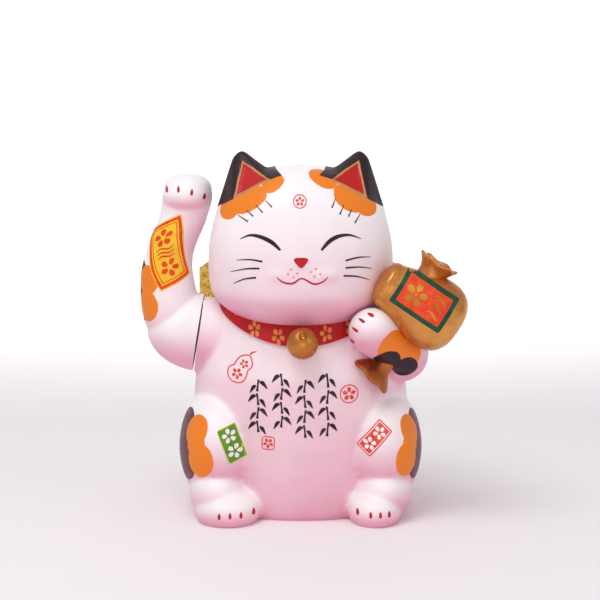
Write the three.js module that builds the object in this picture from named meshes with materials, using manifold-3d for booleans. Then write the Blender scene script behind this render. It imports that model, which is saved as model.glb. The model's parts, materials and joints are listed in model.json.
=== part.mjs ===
// A seated beckoning cat with a swinging arm: a painted hollow casting that holds a lucky mallet,
// a hollow arm on an axle, and the pendulum drive, battery and switch that keep the arm swinging.
// Millimetres, +Z up, the cat faces -Y, and the origin is on the floor below the middle of the figure.
import * as THREE from 'three';
import { ConvexGeometry } from 'three/addons/geometries/ConvexGeometry.js';
import { mergeVertices } from 'three/addons/utils/BufferGeometryUtils.js';
import Module from 'manifold-3d';

const wasm = await Module();
wasm.setup();

// ---- driving dimensions ----
const gap = 0.35; // between pieces that touch
const wall = 3.3; // thickness of the body casting
const torsoDepth = 0.78; // depth of the torso over its width
const headDepth = 0.86; // depth of the head over its width
const headY = -9; // middle of the head, forward of the origin
const neckRadius = 18; // opening between the body and the head
const chest = { from: 75, height: 45, narrower: 0.12, back: 3 }; // how the torso draws in to the neck
const collar = { z: 118.5, slope: 0.355, sag: 0.0052, rx: 54, ry: 47, height: 14, reach: 16, thick: 2.2 };
const bell = { x: 1, y: -46.6, z: 95.7, radius: 8.2 };
const pivot = { x: -54.3, z: 94.4, tilt: 9, radius: 20.8 }; // where the arm turns, and its outward lean
const seam = 0.5; // half the gap between the arm and the shoulder
const boss = { radius: 20, below: 0.4, pocket: 15.5, floor: 4.2 }; // the shoulder that the arm turns against
const cover = { radius: 17.2, mouth: 17.6, sheet: 2.1, hub: 4.6, hubEnd: -14 }; // closes the arm's end
const armWall = 1.5;
const axle = { radius: 1.5, from: -13, to: 39 };
const bore = axle.radius + 0.3;
const bush = { radius: 4, flange: 6, play: 0.4 };
const screwHole = 1.6;
const frame = { from: 14, to: 36, floor: -56, top: 5, half: 10, sheet: 2.2, foot: 14.8 };
const pendulum = { from: 22, to: 28, foot: -43 };
const magnet = { radius: 6, height: 4 };
const coil = { radius: 8, hole: 3, height: 5 };
const mallet = { x: 61.3, y: -33, z: 114.2, turn: 33 };
const drum = { strike: 12.3, belly: 19.4, from: -21.5, to: 24.4, dome: 3.2 };
const stub = { along: -3.2, neck: 7.4, rim: 10.6, top: 24.4 }; // the gathered end of the mallet's handle
const grip = { x: 43, y: -33.5, z: 82, outX: -0.72, outZ: -0.69, neck: 5.2, rim: 12, into: -9, end: 8.8 };
const base = { rx: 41, z: 2.2, sheet: 2 };
const ledge = base.z + base.sheet + 0.3; // what the base plate is screwed up against
const cell = { radius: 7.2, length: 49, nub: 2.7, nubLength: 1.4 };
const leadX = 27.4; // where the leads leave the battery bay, either side
const bay = { x: 29, y: 9.4, top: 20, wall: 1.5 }; // half sizes of the battery bay, and its roof
const door = { play: 0.5, sheet: 1.7 };
const knob = { y: -20, travel: 3, half: 1.6 };
const baseScrews = [[0, 29.4], [-32.5, -14], [32.5, -14]];
const frameScrews = [-11.5, 11.5]; // in front of and behind the axle

// ---- making shapes ----
const radians = THREE.MathUtils.degToRad;

function signedVolume(position, index) {
  const [a, b, c] = [new THREE.Vector3(), new THREE.Vector3(), new THREE.Vector3()];
  let volume = 0;
  for (let i = 0; i < index.length; i += 3) {
    a.fromBufferAttribute(position, index[i]);
    b.fromBufferAttribute(position, index[i + 1]);
    c.fromBufferAttribute(position, index[i + 2]);
    volume += a.dot(b.cross(c)) / 6;
  }
  return volume;
}

// A three.js geometry as a closed solid, with its faces turned outwards.
function solid(geometry) {
  geometry.deleteAttribute('normal');
  geometry.deleteAttribute('uv');
  const merged = mergeVertices(geometry, 1e-4);
  const corners = Array.from(merged.index.array);
  const triangles = [];
  for (let i = 0; i < corners.length; i += 3) {
    const [a, b, c] = corners.slice(i, i + 3);
    if (a !== b && b !== c && c !== a) triangles.push(a, b, c);
  }
  if (signedVolume(merged.attributes.position, triangles) < 0) triangles.reverse();
  return new wasm.Manifold(new wasm.Mesh({
    numProp: 3,
    vertProperties: new Float32Array(merged.attributes.position.array),
    triVerts: new Uint32Array(triangles),
  }));
}

function geometryOf(shape) {
  const mesh = shape.getMesh();
  const geometry = new THREE.BufferGeometry();
  geometry.setAttribute('position', new THREE.BufferAttribute(new Float32Array(mesh.vertProperties), 3));
  geometry.setIndex(new THREE.BufferAttribute(new Uint32Array(mesh.triVerts), 1));
  geometry.computeVertexNormals();
  return geometry;
}

const joined = (first, ...others) => others.reduce((sum, other) => sum.add(other), first);
const cut = (first, ...others) => others.reduce((rest, other) => rest.subtract(other), first);

function ball(x, y, z, rx, ry, rz, around = 20, down = 12) {
  const geometry = new THREE.SphereGeometry(1, around, down).rotateX(Math.PI / 2);
  return solid(geometry.scale(rx, ry, rz).translate(x, y, z));
}

function block(x0, x1, y0, y1, z0, z1) {
  const geometry = new THREE.BoxGeometry(x1 - x0, y1 - y0, z1 - z0);
  return solid(geometry.translate((x0 + x1) / 2, (y0 + y1) / 2, (z0 + z1) / 2));
}

// A turned shape about Z from [radius, height] points, made oval by depth.
function turned(points, around = 32, depth = 1, y = 0) {
  const profile = points.map(([r, z]) => new THREE.Vector2(r, z));
  const geometry = new THREE.LatheGeometry(profile, around).rotateX(Math.PI / 2);
  return geometry.scale(1, depth, 1).translate(0, y, 0);
}

// A smooth curve through the given points, with on-axis ends.
function smooth(points, count) {
  const curve = new THREE.SplineCurve(points.map(([r, z]) => new THREE.Vector2(r, z)));
  const line = curve.getPoints(count).map((p) => [Math.max(p.x, 0), p.y]);
  line[0][0] = 0;
  line[line.length - 1][0] = 0;
  return line;
}

// A rod along X at height z, with an optional hole through it.
function rod(x0, x1, radius, hole = 0, sides = 20, y = 0, z = 0) {
  const points = [[hole, x0], [radius, x0], [radius, x1], [hole, x1]];
  if (hole) points.push([hole, x0]);
  return solid(turned(points, sides).rotateY(Math.PI / 2).translate(0, y, z));
}

// The same, standing along Z.
function post(x, y, z0, z1, radius, hole = 0, sides = 20) {
  const points = [[hole, z0], [radius, z0], [radius, z1], [hole, z1]];
  if (hole) points.push([hole, z0]);
  return solid(turned(points, sides).translate(x, y, 0));
}

// A round limb with ball ends, between two points with a radius at each.
function limb(a, b, ra, rb, around = 14) {
  const [start, end] = [new THREE.Vector3(...a), new THREE.Vector3(...b)];
  const length = start.distanceTo(end);
  const points = [];
  for (let i = 0; i <= 4; i++) {
    const t = (i * Math.PI) / 8;
    points.push([ra * Math.sin(t), -ra * Math.cos(t)]);
  }
  for (let i = 4; i >= 0; i--) {
    const t = (i * Math.PI) / 8;
    points.push([rb * Math.sin(t), length + rb * Math.cos(t)]);
  }
  const geometry = turned(points, around);
  const up = new THREE.Vector3(0, 0, 1);
  const turn = new THREE.Quaternion().setFromUnitVectors(up, end.clone().sub(start).normalize());
  return solid(geometry.applyQuaternion(turn).translate(...a));
}

// Moves every corner of a geometry by a function of where it is.
function moved(geometry, move) {
  const position = geometry.attributes.position;
  const corner = new THREE.Vector3();
  for (let i = 0; i < position.count; i++) {
    corner.fromBufferAttribute(position, i);
    move(corner);
    position.setXYZ(i, corner.x, corner.y, corner.z);
  }
  return geometry;
}

// ---- the scene graph ----
const figurine = new THREE.Group();
const drive = new THREE.Group(); // X runs along the axle, into the body
drive.position.set(pivot.x, 0, pivot.z);
drive.rotation.y = radians(pivot.tilt);
drive.updateMatrixWorld(true);
figurine.add(drive);

function place(parent, name, shape, color, roughness, metalness = 0) {
  const material = new THREE.MeshStandardMaterial({ color, roughness, metalness });
  const mesh = new THREE.Mesh(geometryOf(shape), material);
  mesh.name = name;
  parent.add(mesh);
}

// A shape made in the drive's own frame, carried into the figurine's.
const inBody = (shape) => {
  const geometry = geometryOf(shape);
  return solid(geometry.applyMatrix4(drive.matrixWorld));
};

const white = 0xf4efee;
const gold = 0xb98238;
const red = 0xb8202a;
const steel = 0xa8abb0;
const nylon = 0xe9e4d6;
const black = 0x1d1d20;

// ---- head ----
const headProfile = [[0, 101], [25.7, 102.4], [36.9, 107.2], [46.2, 116.2], [48.5, 127], [48.5, 141.7],
  [46, 154.7], [42.3, 164.7], [36.5, 172.7], [29.5, 178.7], [19.5, 182.9], [8, 184.8], [0, 185]];

const headMiddle = 143;
const headHalf = 42;
const earSink = 1.7; // how far the red of the ear lies below its rim

// The head's outline moved outwards, or inwards when grow is negative.
function headOutline(grow) {
  const scale = 1 + grow / headHalf;
  return headProfile.map(([r, z]) => [r ? Math.max(r + grow, 0) : 0, headMiddle + (z - headMiddle) * scale]);
}

const headOutside = (grow) => solid(turned(headOutline(grow), 28, headDepth, headY));

// The tightest skin round balls given as [x, y, z, radius].
function skinOver(balls) {
  const points = [];
  for (const [x, y, z, radius] of balls) {
    const position = new THREE.SphereGeometry(radius, 8, 6).translate(x, y, z).attributes.position;
    for (let i = 0; i < position.count; i++) {
      points.push(new THREE.Vector3().fromBufferAttribute(position, i));
    }
  }
  return solid(new ConvexGeometry(points));
}

// An ear: a rounded pyramid with a triangle sunk into its front.
function ear(side) {
  const corners = [[-30.9, -8.6, 189.4, 3.1], [-33.6, -8.4, 187.4, 2.6], [-41.2, -11, 160, 3.6],
    [-33.5, -24.5, 164.5, 3], [-17, -25, 174, 3], [-12, -15, 176.6, 2.4], [-20, 3, 172, 5], [-36, 1, 160, 5]];
  return skinOver(corners.map(([x, y, z, radius]) => [x * side, y, z, radius]));
}

function earHollow(side) {
  const triangle = [[-30.4, -14.5, 187.2], [-34.4, -26.5, 168.8], [-16.4, -29.3, 178.6]]
    .map(([x, y, z]) => new THREE.Vector3(x * side, y, z));
  const out = new THREE.Plane().setFromCoplanarPoints(...triangle).normal;
  if (out.y > 0) out.negate();
  const floor = triangle.map((corner) => corner.clone().addScaledVector(out, -earSink));
  const above = triangle.map((corner) => corner.clone().addScaledVector(out, 12));
  return solid(new ConvexGeometry([...floor, ...above]));
}

function headCasting() {
  const hollow = solid(turned(headOutline(-wall), 18, headDepth, headY));
  const throat = post(0, 0, 95, 112, neckRadius + 1, 0, 20);
  return cut(joined(headOutside(0), ear(-1), ear(1)), hollow, throat, earHollow(-1), earHollow(1));
}

// ---- body ----
const torsoProfile = [[0, 0], [47.5, 0], [50.5, 3], [54, 14], [56.5, 30], [57.3, 48], [57, 62], [55.8, 75],
  [53, 88], [49, 100], [43.5, 110], [34, 118], [20, 122.5], [0, 124]];
const cavityProfile = [[0, ledge - 0.1], [37, ledge - 0.1], [37, 8.5], [50, 18], [53, 32], [54, 48],
  [53.6, 62], [52.4, 75], [49.5, 88], [46.5, 98.5], [40, 101.8], [26, 97.6], [0, 97.4]];

const shoulder = (grow) => inBody(rod(seam - grow, 24, boss.radius + grow, 0, 24, 0, -boss.below));

function malletShape(grow) {
  const { strike, belly, from, to, dome } = drum;
  const barrel = solid(turned([[0, from - dome - grow], [strike / 2, from - 0.8 * dome - grow],
    [strike - 2.5 + grow, from - 0.35 * dome - grow], [strike + grow, from + 1], [strike + 2 + grow, -10],
    [belly - 1 + grow, 0], [belly + grow, 8], [belly - 0.6 + grow, 14], [belly - 4 + grow, 20],
    [belly - 9 + grow, 23.2], [0, to + grow]], 22).rotateY(Math.PI / 2));
  const { along, neck, rim, top } = stub;
  const handle = solid(turned([[0, 10], [neck + grow, 10], [neck + grow, top - 6],
    [neck + 1 + grow, top - 4], [rim - 0.6 + grow, top - 2], [rim + grow, top - 1],
    [rim - 0.8 + grow, top + grow], [0, top + 0.4 + grow]], 16).translate(along, 0, 0));
  const geometry = geometryOf(barrel.add(handle)).rotateY(radians(mallet.turn));
  return solid(geometry.translate(mallet.x, mallet.y, mallet.z));
}

function gripShape(grow) {
  const away = new THREE.Vector3(grip.outX, 0, grip.outZ).normalize();
  const turn = new THREE.Quaternion().setFromUnitVectors(new THREE.Vector3(0, 0, 1), away);
  const { neck, rim, into, end } = grip;
  const points = [[0, into - grow], [neck + grow, into - grow], [neck + grow, end - 10],
    [neck + 1.4 + grow, end - 7], [rim - 0.6 + grow, end - 2.4], [rim + grow, end - 1.2],
    [rim - 1 + grow, end + grow], [0, end + 0.4 + grow]];
  return solid(turned(points, 18).applyQuaternion(turn).translate(grip.x, grip.y, grip.z));
}

function towardsNeck(corner) {
  const rise = Math.max(0, (corner.z - chest.from) / chest.height);
  corner.y = corner.y * (1 - chest.narrower * rise) + chest.back * rise;
}

// The torso and the rise at the nape, which the collar lies on.
function neck(grow) {
  const points = torsoProfile.map(([r, z], i) => [r ? r + grow : 0, i < 2 ? z : z + grow * (z > 100)]);
  const torso = solid(moved(turned(points, 30, torsoDepth, 1), towardsNeck));
  return [torso, ball(0, 14, 106, 37 + grow, 25 + grow, 24 + grow, 18, 10)];
}

function bodyOutside(grow) {
  const haunches = [-1, 1].map((side) => ball(side * 43.5, -9, 35, 21.3 + grow, 37 + grow, 32 + grow,
    16, 12));
  const feet = [ball(-38.2, -33, 6, 17.5, 22, 12.5, 16, 8), ball(39, -33, 6, 14.5, 22, 12.5, 16, 8)];
  const tail = ball(12, 46, 16, 11, 9, 12, 12, 8);
  const upperArm = limb([49, 2, 101], [53, -14, 85], 15.5 + grow, 14.8 + grow);
  const foreArm = limb([53, -17, 84], [36.5, -37.5, 100], 14 + grow, 12.5 + grow);
  const ankles = [-1, 1].map((side) => ball(side * 43.5, -24, 14, 15.5, 25, 16, 16, 10));
  const all = joined(...neck(grow), ...haunches, ...feet, ...ankles, tail, upperArm, foreArm, shoulder(grow));
  return cut(all, block(-90, 90, -90, 90, -40, 0));
}

// A band that dips to the front of the neck; with a margin it is the groove that the band lies in.
function collarBand(margin) {
  const { z, slope, sag, rx, ry, height, reach, thick } = collar;
  const half = height / 2 + margin;
  const ring = turned([[rx - reach, -half], [rx, -half], [rx, half], [rx - reach, half],
    [rx - reach, -half]], 24, ry / rx);
  const band = solid(moved(ring, (corner) => {
    corner.z += z + slope * corner.y - sag * corner.y ** 2;
  }));
  return cut(band.intersect(joined(...neck(thick + margin))), joined(...neck(gap - margin)));
}

function bodyCasting() {
  const cavity = solid(moved(turned(cavityProfile, 20, torsoDepth, 1), towardsNeck));
  const opening = [[0, -1], [base.rx + gap, -1], [base.rx + gap, ledge], [0, ledge]];
  const mouth = solid(turned(opening, 24, torsoDepth, 1));
  const throat = post(0, 0, 90, 130, neckRadius, 0, 20);
  const pocket = inBody(rod(boss.floor, frame.from, boss.pocket, 0, 24));
  const { from, to, foot, top } = frame;
  const room = inBody(block(from - 1, to + 3, -foot - 1, foot + 1, -12, top + 1.2));
  const bushHole = inBody(rod(-1, 6, bush.radius + bush.play));
  const pilots = frameScrews.map((y) => inBody(rod(1.6, 6, screwHole, 0, 10, y)));
  const ledgeHoles = baseScrews.map(([x, y]) => post(x, y + 1, 2, 7.4, screwHole, 0, 10));
  const beside = [collarBand(gap), headOutside(gap), malletShape(gap), gripShape(gap)];
  return cut(bodyOutside(0), ...beside, cavity, mouth, throat, pocket, room, bushHole, ...pilots,
    ...ledgeHoles);
}

// ---- what the cat wears and holds ----
function bellBall() {
  const { x, y, z, radius } = bell;
  const dimple = solid(new THREE.CylinderGeometry(1.1, 1.1, 6, 12).rotateX(Math.PI / 2));
  const sphere = ball(x, y, z, radius, radius, radius, 18, 10);
  const hole = dimple.translate(x, y - radius, z + 2);
  return cut(sphere, hole, bodyOutside(gap + collar.thick));
}

function napeBow() {
  const wing = (side) => {
    const outline = new THREE.Shape();
    outline.moveTo(0, 4);
    outline.bezierCurveTo(side * 16, 16, side * 40, 10, side * 48, -4);
    outline.quadraticCurveTo(side * 51, -11, side * 46, -17);
    outline.bezierCurveTo(side * 34, -22, side * 14, -12, 0, -4);
    return outline;
  };
  const options = { depth: 3, curveSegments: 5, bevelThickness: 1, bevelSize: 1, bevelSegments: 1 };
  const wings = [-1, 1].map((side) => solid(new THREE.ExtrudeGeometry(wing(side), options)
    .rotateX(Math.PI / 2).translate(0, 45.5, 123)));
  return cut(joined(...wings, ball(0, 44.6, 123.5, 8, 5, 8, 16, 10)), bodyOutside(gap + collar.thick),
    headOutside(gap));
}

// ---- swinging arm ----
const armProfile = [[0, 88], [10, 90], [14, 97], [15.5, 108], [14.6, 120], [13.4, 130], [12.7, 138],
  [13, 146], [12.8, 158], [13.3, 166], [13, 171], [11.5, 175.5], [7, 178.6], [0, 179.8]];
const armMiddle = new THREE.SplineCurve([[-66, 84], [-68.5, 100], [-70, 112], [-71.3, 126], [-70.3, 135],
  [-67.3, 145], [-64, 152], [-61.6, 159], [-60.2, 166], [-60, 172], [-60, 184]]
  .map(([x, z]) => new THREE.Vector2(x, z)));

// How far the middle of the arm stands to the side at height z.
function armOffset(z) {
  const points = armMiddle.getPoints(60);
  const above = Math.max(1, points.findIndex((p) => p.y >= z));
  const [a, b] = [points[above - 1], points[above]];
  return a.x + ((b.x - a.x) * (z - a.y)) / (b.y - a.y);
}

function armOutside(shrink) {
  const [middle, half] = [134, 46];
  const points = armProfile.map(([r, z]) => [Math.max(r - shrink, 0),
    middle + (z - middle) * (1 - shrink / half)]);
  const raised = solid(moved(turned(points, shrink ? 12 : 18), (corner) => {
    corner.x += armOffset(corner.z);
  }));
  const sides = shrink ? 14 : 20;
  const { radius } = pivot;
  const dome = ball(0, 0, 0, 28 - shrink, radius - shrink, radius - shrink, sides, sides / 2);
  const cap = rod(-4, -seam, radius - shrink, 0, sides);
  return raised.add(inBody(dome.add(cap)));
}

function armShell() {
  const beyond = inBody(block(-seam, 60, -60, 60, -60, 110));
  const insideLimit = inBody(block(-2.2, 60, -60, 60, -60, 110));
  const mouth = inBody(rod(-6, 2, cover.mouth, 0, 24));
  return cut(armOutside(0), beyond, cut(armOutside(armWall), insideLimit), mouth);
}

function armCover() {
  const back = -seam - cover.sheet;
  return rod(back, -seam, cover.radius, bore, 24).add(rod(cover.hubEnd, back + 0.1, cover.hub, bore, 16));
}

// ---- drive ----
function flangedBush(x0, x1, flangeFrom, flangeTo) {
  return rod(x0, x1, bush.radius, bore, 16).add(rod(flangeFrom, flangeTo, bush.flange, bore, 16));
}

function driveFrame() {
  const { from, to, floor, top, half, sheet } = frame;
  const outer = block(from, to, -half, half, floor, top);
  const space = block(from + sheet, to - sheet, -half - 1, half + 1, floor + sheet, top + 1);
  const mountPlate = block(from, from + sheet, -frame.foot, frame.foot, -9, 4);
  const posts = frameScrews.map((y) => rod(4.6, from + 0.1, 3.2, 0, 12, y));
  const holes = frameScrews.map((y) => rod(4, from + sheet + 1, screwHole, 0, 10, y));
  const bushHoles = [rod(from - 1, from + sheet + 1, bore + 1.2), rod(to - sheet - 1, to + 1, 4.3)];
  return cut(joined(cut(outer, space), mountPlate, ...posts), ...holes, ...bushHoles);
}

function pendulumLever() {
  const { from, to, foot } = pendulum;
  const middle = (from + to) / 2;
  const bar = block(middle - 1.5, middle + 1.5, -3, 3, foot + 1, 0);
  const plate = post(middle, 0, foot, foot + 1.5, magnet.radius + 1, 0, 20);
  return joined(rod(from, to, 5, 0, 16), bar, plate).subtract(rod(from - 1, to + 1, bore));
}

function counterweight() {
  const middle = (pendulum.from + pendulum.to) / 2;
  const body = block(middle - 7, middle + 7, -8, 8, -40, -26);
  return cut(body, block(middle - 1.9, middle + 1.9, -3.4, 3.4, -45, -20));
}

function screw(length, headRadius) {
  const shank = 1.25;
  return solid(turned([[0, -1.6], [headRadius * 0.6, -1.6], [headRadius, -0.8], [headRadius, 0],
    [shank, 0], [shank, length - 1.2], [0, length]], 12));
}

// ---- base, battery and switch ----
function basePlate() {
  const { rx, z, sheet } = base;
  const top = z + sheet;
  const plate = solid(turned([[0, z], [rx, z], [rx, top], [0, top]], 36, torsoDepth, 1));
  const w = bay.wall;
  const walls = block(-bay.x - w, bay.x + w, -bay.y - w, bay.y + w, z + 0.5, bay.top + w);
  const room = block(-bay.x, bay.x, -bay.y, bay.y, z - 1, bay.top);
  const leadHoles = [-1, 1].map((side) => post(side * leadX, 7, bay.top - 2, bay.top + 4, 1.3, 0, 8));
  const slot = block(-knob.half - gap, knob.half + knob.travel + gap, knob.y - knob.half - gap,
    knob.y + knob.half + gap, 0, 6);
  const holes = baseScrews.map(([x, y]) => post(x, y + 1, 0, 6, screwHole, 0, 10));
  return cut(plate.add(walls), room, slot, ...leadHoles, ...holes);
}

const cellZ = base.z + door.sheet + 0.5 + cell.radius + gap;

function batteryCell() {
  const half = cell.length / 2;
  const body = rod(-half, half, cell.radius, 0, 24, 0, cellZ);
  return body.add(rod(half - 0.1, half + cell.nubLength, cell.nub, 0, 14, 0, cellZ));
}

// A coil spring that presses on the flat end of the cell.
function springContact() {
  const turns = 3;
  const [start, end] = [-bay.x + 1.6, -cell.length / 2 - 0.7];
  const points = [];
  for (let i = 0; i <= turns * 10; i++) {
    const t = i / (turns * 10);
    const angle = t * turns * Math.PI * 2;
    const r = 5 - 1.6 * t;
    const x = start + (end - start) * t;
    points.push(new THREE.Vector3(x, r * Math.cos(angle), cellZ + r * Math.sin(angle)));
  }
  const wire = new THREE.Shape().absarc(0, 0, 0.4, 0, Math.PI * 2);
  const path = new THREE.CatmullRomCurve3(points);
  const options = { steps: 30, extrudePath: path, bevelEnabled: false, curveSegments: 2 };
  return solid(new THREE.ExtrudeGeometry(wire, options));
}

const plateContact = () => block(bay.x - 1.2, bay.x - gap, -5, 8, cellZ - 5, cellZ + 5);

function batteryDoor() {
  const { play, sheet } = door;
  const z = base.z;
  const lid = block(-bay.x + play, bay.x - play, -bay.y + play, bay.y - play, z, z + sheet);
  const grooves = [-6, 0, 6].map((x) => block(x - 1, x + 1, 3, 8, z - 1, z + 0.5));
  return cut(lid, ...grooves);
}

function lead(points) {
  const wire = new THREE.Shape().absarc(0, 0, 0.6, 0, Math.PI * 2);
  const path = new THREE.CatmullRomCurve3(points.map((p) => new THREE.Vector3(...p)));
  const options = { steps: 16, extrudePath: path, bevelEnabled: false, curveSegments: 3 };
  return solid(new THREE.ExtrudeGeometry(wire, options));
}

const collarSolid = collarBand(0).subtract(headOutside(gap));

place(figurine, 'body_casting', bodyCasting(), white, 0.6);
place(figurine, 'head_casting', headCasting(), white, 0.6);
place(figurine, 'collar', collarSolid, red, 0.55);
place(figurine, 'bell', bellBall(), gold, 0.35, 0.6);
place(figurine, 'nape_bow', napeBow(), 0xc9a227, 0.4, 0.4);
place(figurine, 'lucky_mallet', malletShape(0).subtract(headOutside(gap)), gold, 0.35, 0.6);
place(figurine, 'mallet_grip', gripShape(0).subtract(malletShape(gap)), gold, 0.35, 0.6);

place(figurine, 'arm_shell', armShell(), white, 0.6);
place(drive, 'arm_side_cover', armCover(), white, 0.6);
place(drive, 'axle', rod(axle.from, axle.to, axle.radius, 0, 14), steel, 0.3, 1);
place(drive, 'outer_bush', flangedBush(0.9, 5.5, 4.6, 5.6), nylon, 0.5);
place(drive, 'inner_bush', flangedBush(frame.to - frame.sheet, frame.to + 1, frame.to + 0.4, frame.to + 1.4),
  nylon, 0.5);
place(drive, 'drive_frame', driveFrame(), nylon, 0.5);
place(drive, 'pendulum_lever', pendulumLever(), 0x2f6fb0, 0.5);
place(drive, 'counterweight', counterweight(), steel, 0.4, 1);
const driveMiddle = (pendulum.from + pendulum.to) / 2;
const magnetTop = pendulum.foot - 0.3;
place(drive, 'magnet', post(driveMiddle, 0, magnetTop - magnet.height, magnetTop, magnet.radius),
  steel, 0.3, 1);
const coilFloor = frame.floor + frame.sheet + 0.3;
place(drive, 'coil', post(driveMiddle, 0, coilFloor, coilFloor + coil.height, coil.radius, coil.hole, 24),
  0xb06a33, 0.4, 0.6);
place(drive, 'circuit_board', block(frame.to + 0.4, frame.to + 1.8, -9.5, 9.5, -54, -28), 0x1f6b3a, 0.5);
place(drive, 'axle_clip', rod(frame.to + 1.8, frame.to + 2.6, 3.4, bore, 14), steel, 0.35, 1);
for (const [i, y] of frameScrews.entries()) {
  const turn = new THREE.Group();
  turn.position.set(frame.from + frame.sheet + 0.3, y, 0);
  turn.rotation.y = -Math.PI / 2;
  drive.add(turn);
  place(turn, `frame_screw_${i + 1}`, screw(14, 2.7), steel, 0.35, 1);
}

place(figurine, 'base_plate', basePlate(), black, 0.6);
place(figurine, 'battery_cell', batteryCell(), 0x3a6ea5, 0.4, 0.3);
place(figurine, 'spring_contact', springContact(), steel, 0.3, 1);
place(figurine, 'plate_contact', plateContact(), steel, 0.3, 1);
place(figurine, 'battery_door', batteryDoor(), black, 0.6);
const switchFloor = base.z + base.sheet + 0.3;
place(figurine, 'switch_body', block(-5, 8, knob.y - 3.5, knob.y + 3.5, switchFloor + 1.5, switchFloor + 7),
  steel, 0.4, 0.8);
place(figurine, 'switch_knob', block(-knob.half, knob.half, knob.y - knob.half, knob.y + knob.half, 0.7,
  switchFloor + 1.2), black, 0.5);
for (const [i, [x, y]] of baseScrews.entries()) {
  const shape = screw(5.2, 2.7).translate(x, y + 1, base.z - 0.3);
  place(figurine, `base_screw_${i + 1}`, shape, steel, 0.35, 1);
}
place(figurine, 'plate_lead', lead([[leadX, 7, 17.6], [leadX, 7, 24], [14, 11, 29], [-10, 8, 31],
  [-23, 3, 35.7]]), 0xb02020, 0.5);
place(figurine, 'spring_lead', lead([[-leadX, 7, 17.6], [-leadX, 7, 25], [-24, -6, 28], [-12, -17, 25],
  [-1, knob.y + 1, 20], [-1, knob.y, 12.2]]), black, 0.5);
place(figurine, 'switch_lead', lead([[4, knob.y, 12.2], [4, knob.y, 20], [-2, -14, 30], [-12, -6, 38],
  [-22.2, -4, 41.7]]), black, 0.5);

export default figurine;
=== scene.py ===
import json
import math

import bpy
from mathutils import Matrix, Vector

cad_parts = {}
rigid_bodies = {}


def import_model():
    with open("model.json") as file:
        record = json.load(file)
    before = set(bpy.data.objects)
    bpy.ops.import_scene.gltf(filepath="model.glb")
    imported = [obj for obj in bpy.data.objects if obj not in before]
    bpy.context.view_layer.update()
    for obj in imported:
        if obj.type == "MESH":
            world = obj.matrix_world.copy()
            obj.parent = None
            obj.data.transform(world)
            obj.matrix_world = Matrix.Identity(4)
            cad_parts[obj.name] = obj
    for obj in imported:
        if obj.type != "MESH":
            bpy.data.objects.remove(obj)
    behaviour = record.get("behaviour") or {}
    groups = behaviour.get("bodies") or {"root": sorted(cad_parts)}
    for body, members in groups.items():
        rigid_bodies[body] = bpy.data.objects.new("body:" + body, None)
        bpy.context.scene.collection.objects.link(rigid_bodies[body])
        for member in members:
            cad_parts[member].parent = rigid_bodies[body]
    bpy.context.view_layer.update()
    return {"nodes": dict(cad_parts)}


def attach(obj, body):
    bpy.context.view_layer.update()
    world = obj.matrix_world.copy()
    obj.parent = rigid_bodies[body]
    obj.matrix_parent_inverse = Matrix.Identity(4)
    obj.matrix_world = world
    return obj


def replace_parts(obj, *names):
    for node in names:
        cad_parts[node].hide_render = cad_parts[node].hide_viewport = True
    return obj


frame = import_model()
nodes = frame["nodes"]
mm = 0.001  # every size below is in millimetres


# working helpers
def clearSelection():
    if bpy.context.object and bpy.context.object.mode != "OBJECT":
        bpy.ops.object.mode_set(mode="OBJECT")
    bpy.ops.object.select_all(action="DESELECT")


def only(*pieces):
    clearSelection()
    for piece in pieces:
        piece.select_set(True)
    bpy.context.view_layer.objects.active = pieces[0]


def applyPlace(piece):
    only(piece)
    bpy.ops.object.transform_apply(location=True, rotation=True, scale=True)
    return piece


def editAll(piece):
    # opens a piece for editing with all of it picked
    only(piece)
    bpy.ops.object.mode_set(mode="EDIT")
    bpy.ops.mesh.select_all(action="SELECT")


def faceOutward(piece):
    editAll(piece)
    bpy.ops.mesh.normals_make_consistent(inside=False)
    bpy.ops.object.mode_set(mode="OBJECT")
    return piece


def named(piece, name):
    piece.name = piece.data.name = name
    return piece


def modify(piece, kind, **settings):
    only(piece)
    step = piece.modifiers.new(kind.title(), kind)
    for key, value in settings.items():
        setattr(step, key, value)
    bpy.ops.object.modifier_apply(modifier=step.name)
    return piece


def join(name, pieces):
    for piece in pieces:
        applyPlace(piece)
    only(*pieces)
    if len(pieces) > 1:
        bpy.ops.object.join()
    return named(bpy.context.object, name)


def away(piece):
    mesh = piece.data
    bpy.data.objects.remove(piece)
    bpy.data.meshes.remove(mesh)


def cutOut(piece, *tools):
    for tool in tools:
        applyPlace(tool)
        modify(piece, "BOOLEAN", operation="DIFFERENCE", object=tool, solver="MANIFOLD")
        away(tool)
    return piece


def soften(piece, voxel, passes):
    # overlapping lumps become one skin, with the creases between them eased
    modify(piece, "REMESH", mode="VOXEL", voxel_size=voxel * mm)
    modify(piece, "SMOOTH", factor=0.5, iterations=passes)
    return piece


def roundEdges(piece, width, angle):
    return modify(piece, "BEVEL", width=width * mm, segments=3, limit_method="ANGLE", angle_limit=math.radians(angle))


def trim(piece, point, lost):
    # slices flat at the point and drops what lies the lost way
    editAll(piece)
    bpy.ops.mesh.bisect(plane_co=point, plane_no=lost, use_fill=True, clear_outer=True)
    bpy.ops.object.mode_set(mode="OBJECT")
    return piece


def smoothShade(piece, angle=35):
    only(piece)
    bpy.ops.object.shade_smooth_by_angle(angle=math.radians(angle))
    return piece


def curveThrough(points, steps):
    # a smooth line through the points, however many numbers each one has
    line = []
    for i in range(len(points) - 1):
        before, a, b, after = (points[max(0, min(len(points) - 1, i + k))] for k in (-1, 0, 1, 2))
        for s in range(steps):
            t = s / steps
            line.append(tuple(
                0.5 * (2 * q + (r - p) * t + (2 * p - 5 * q + 4 * r - u) * t**2 + (3 * q - p - 3 * r + u) * t**3)
                for p, q, r, u in zip(before, a, b, after)))
    line.append(tuple(points[-1]))
    return line


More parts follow.
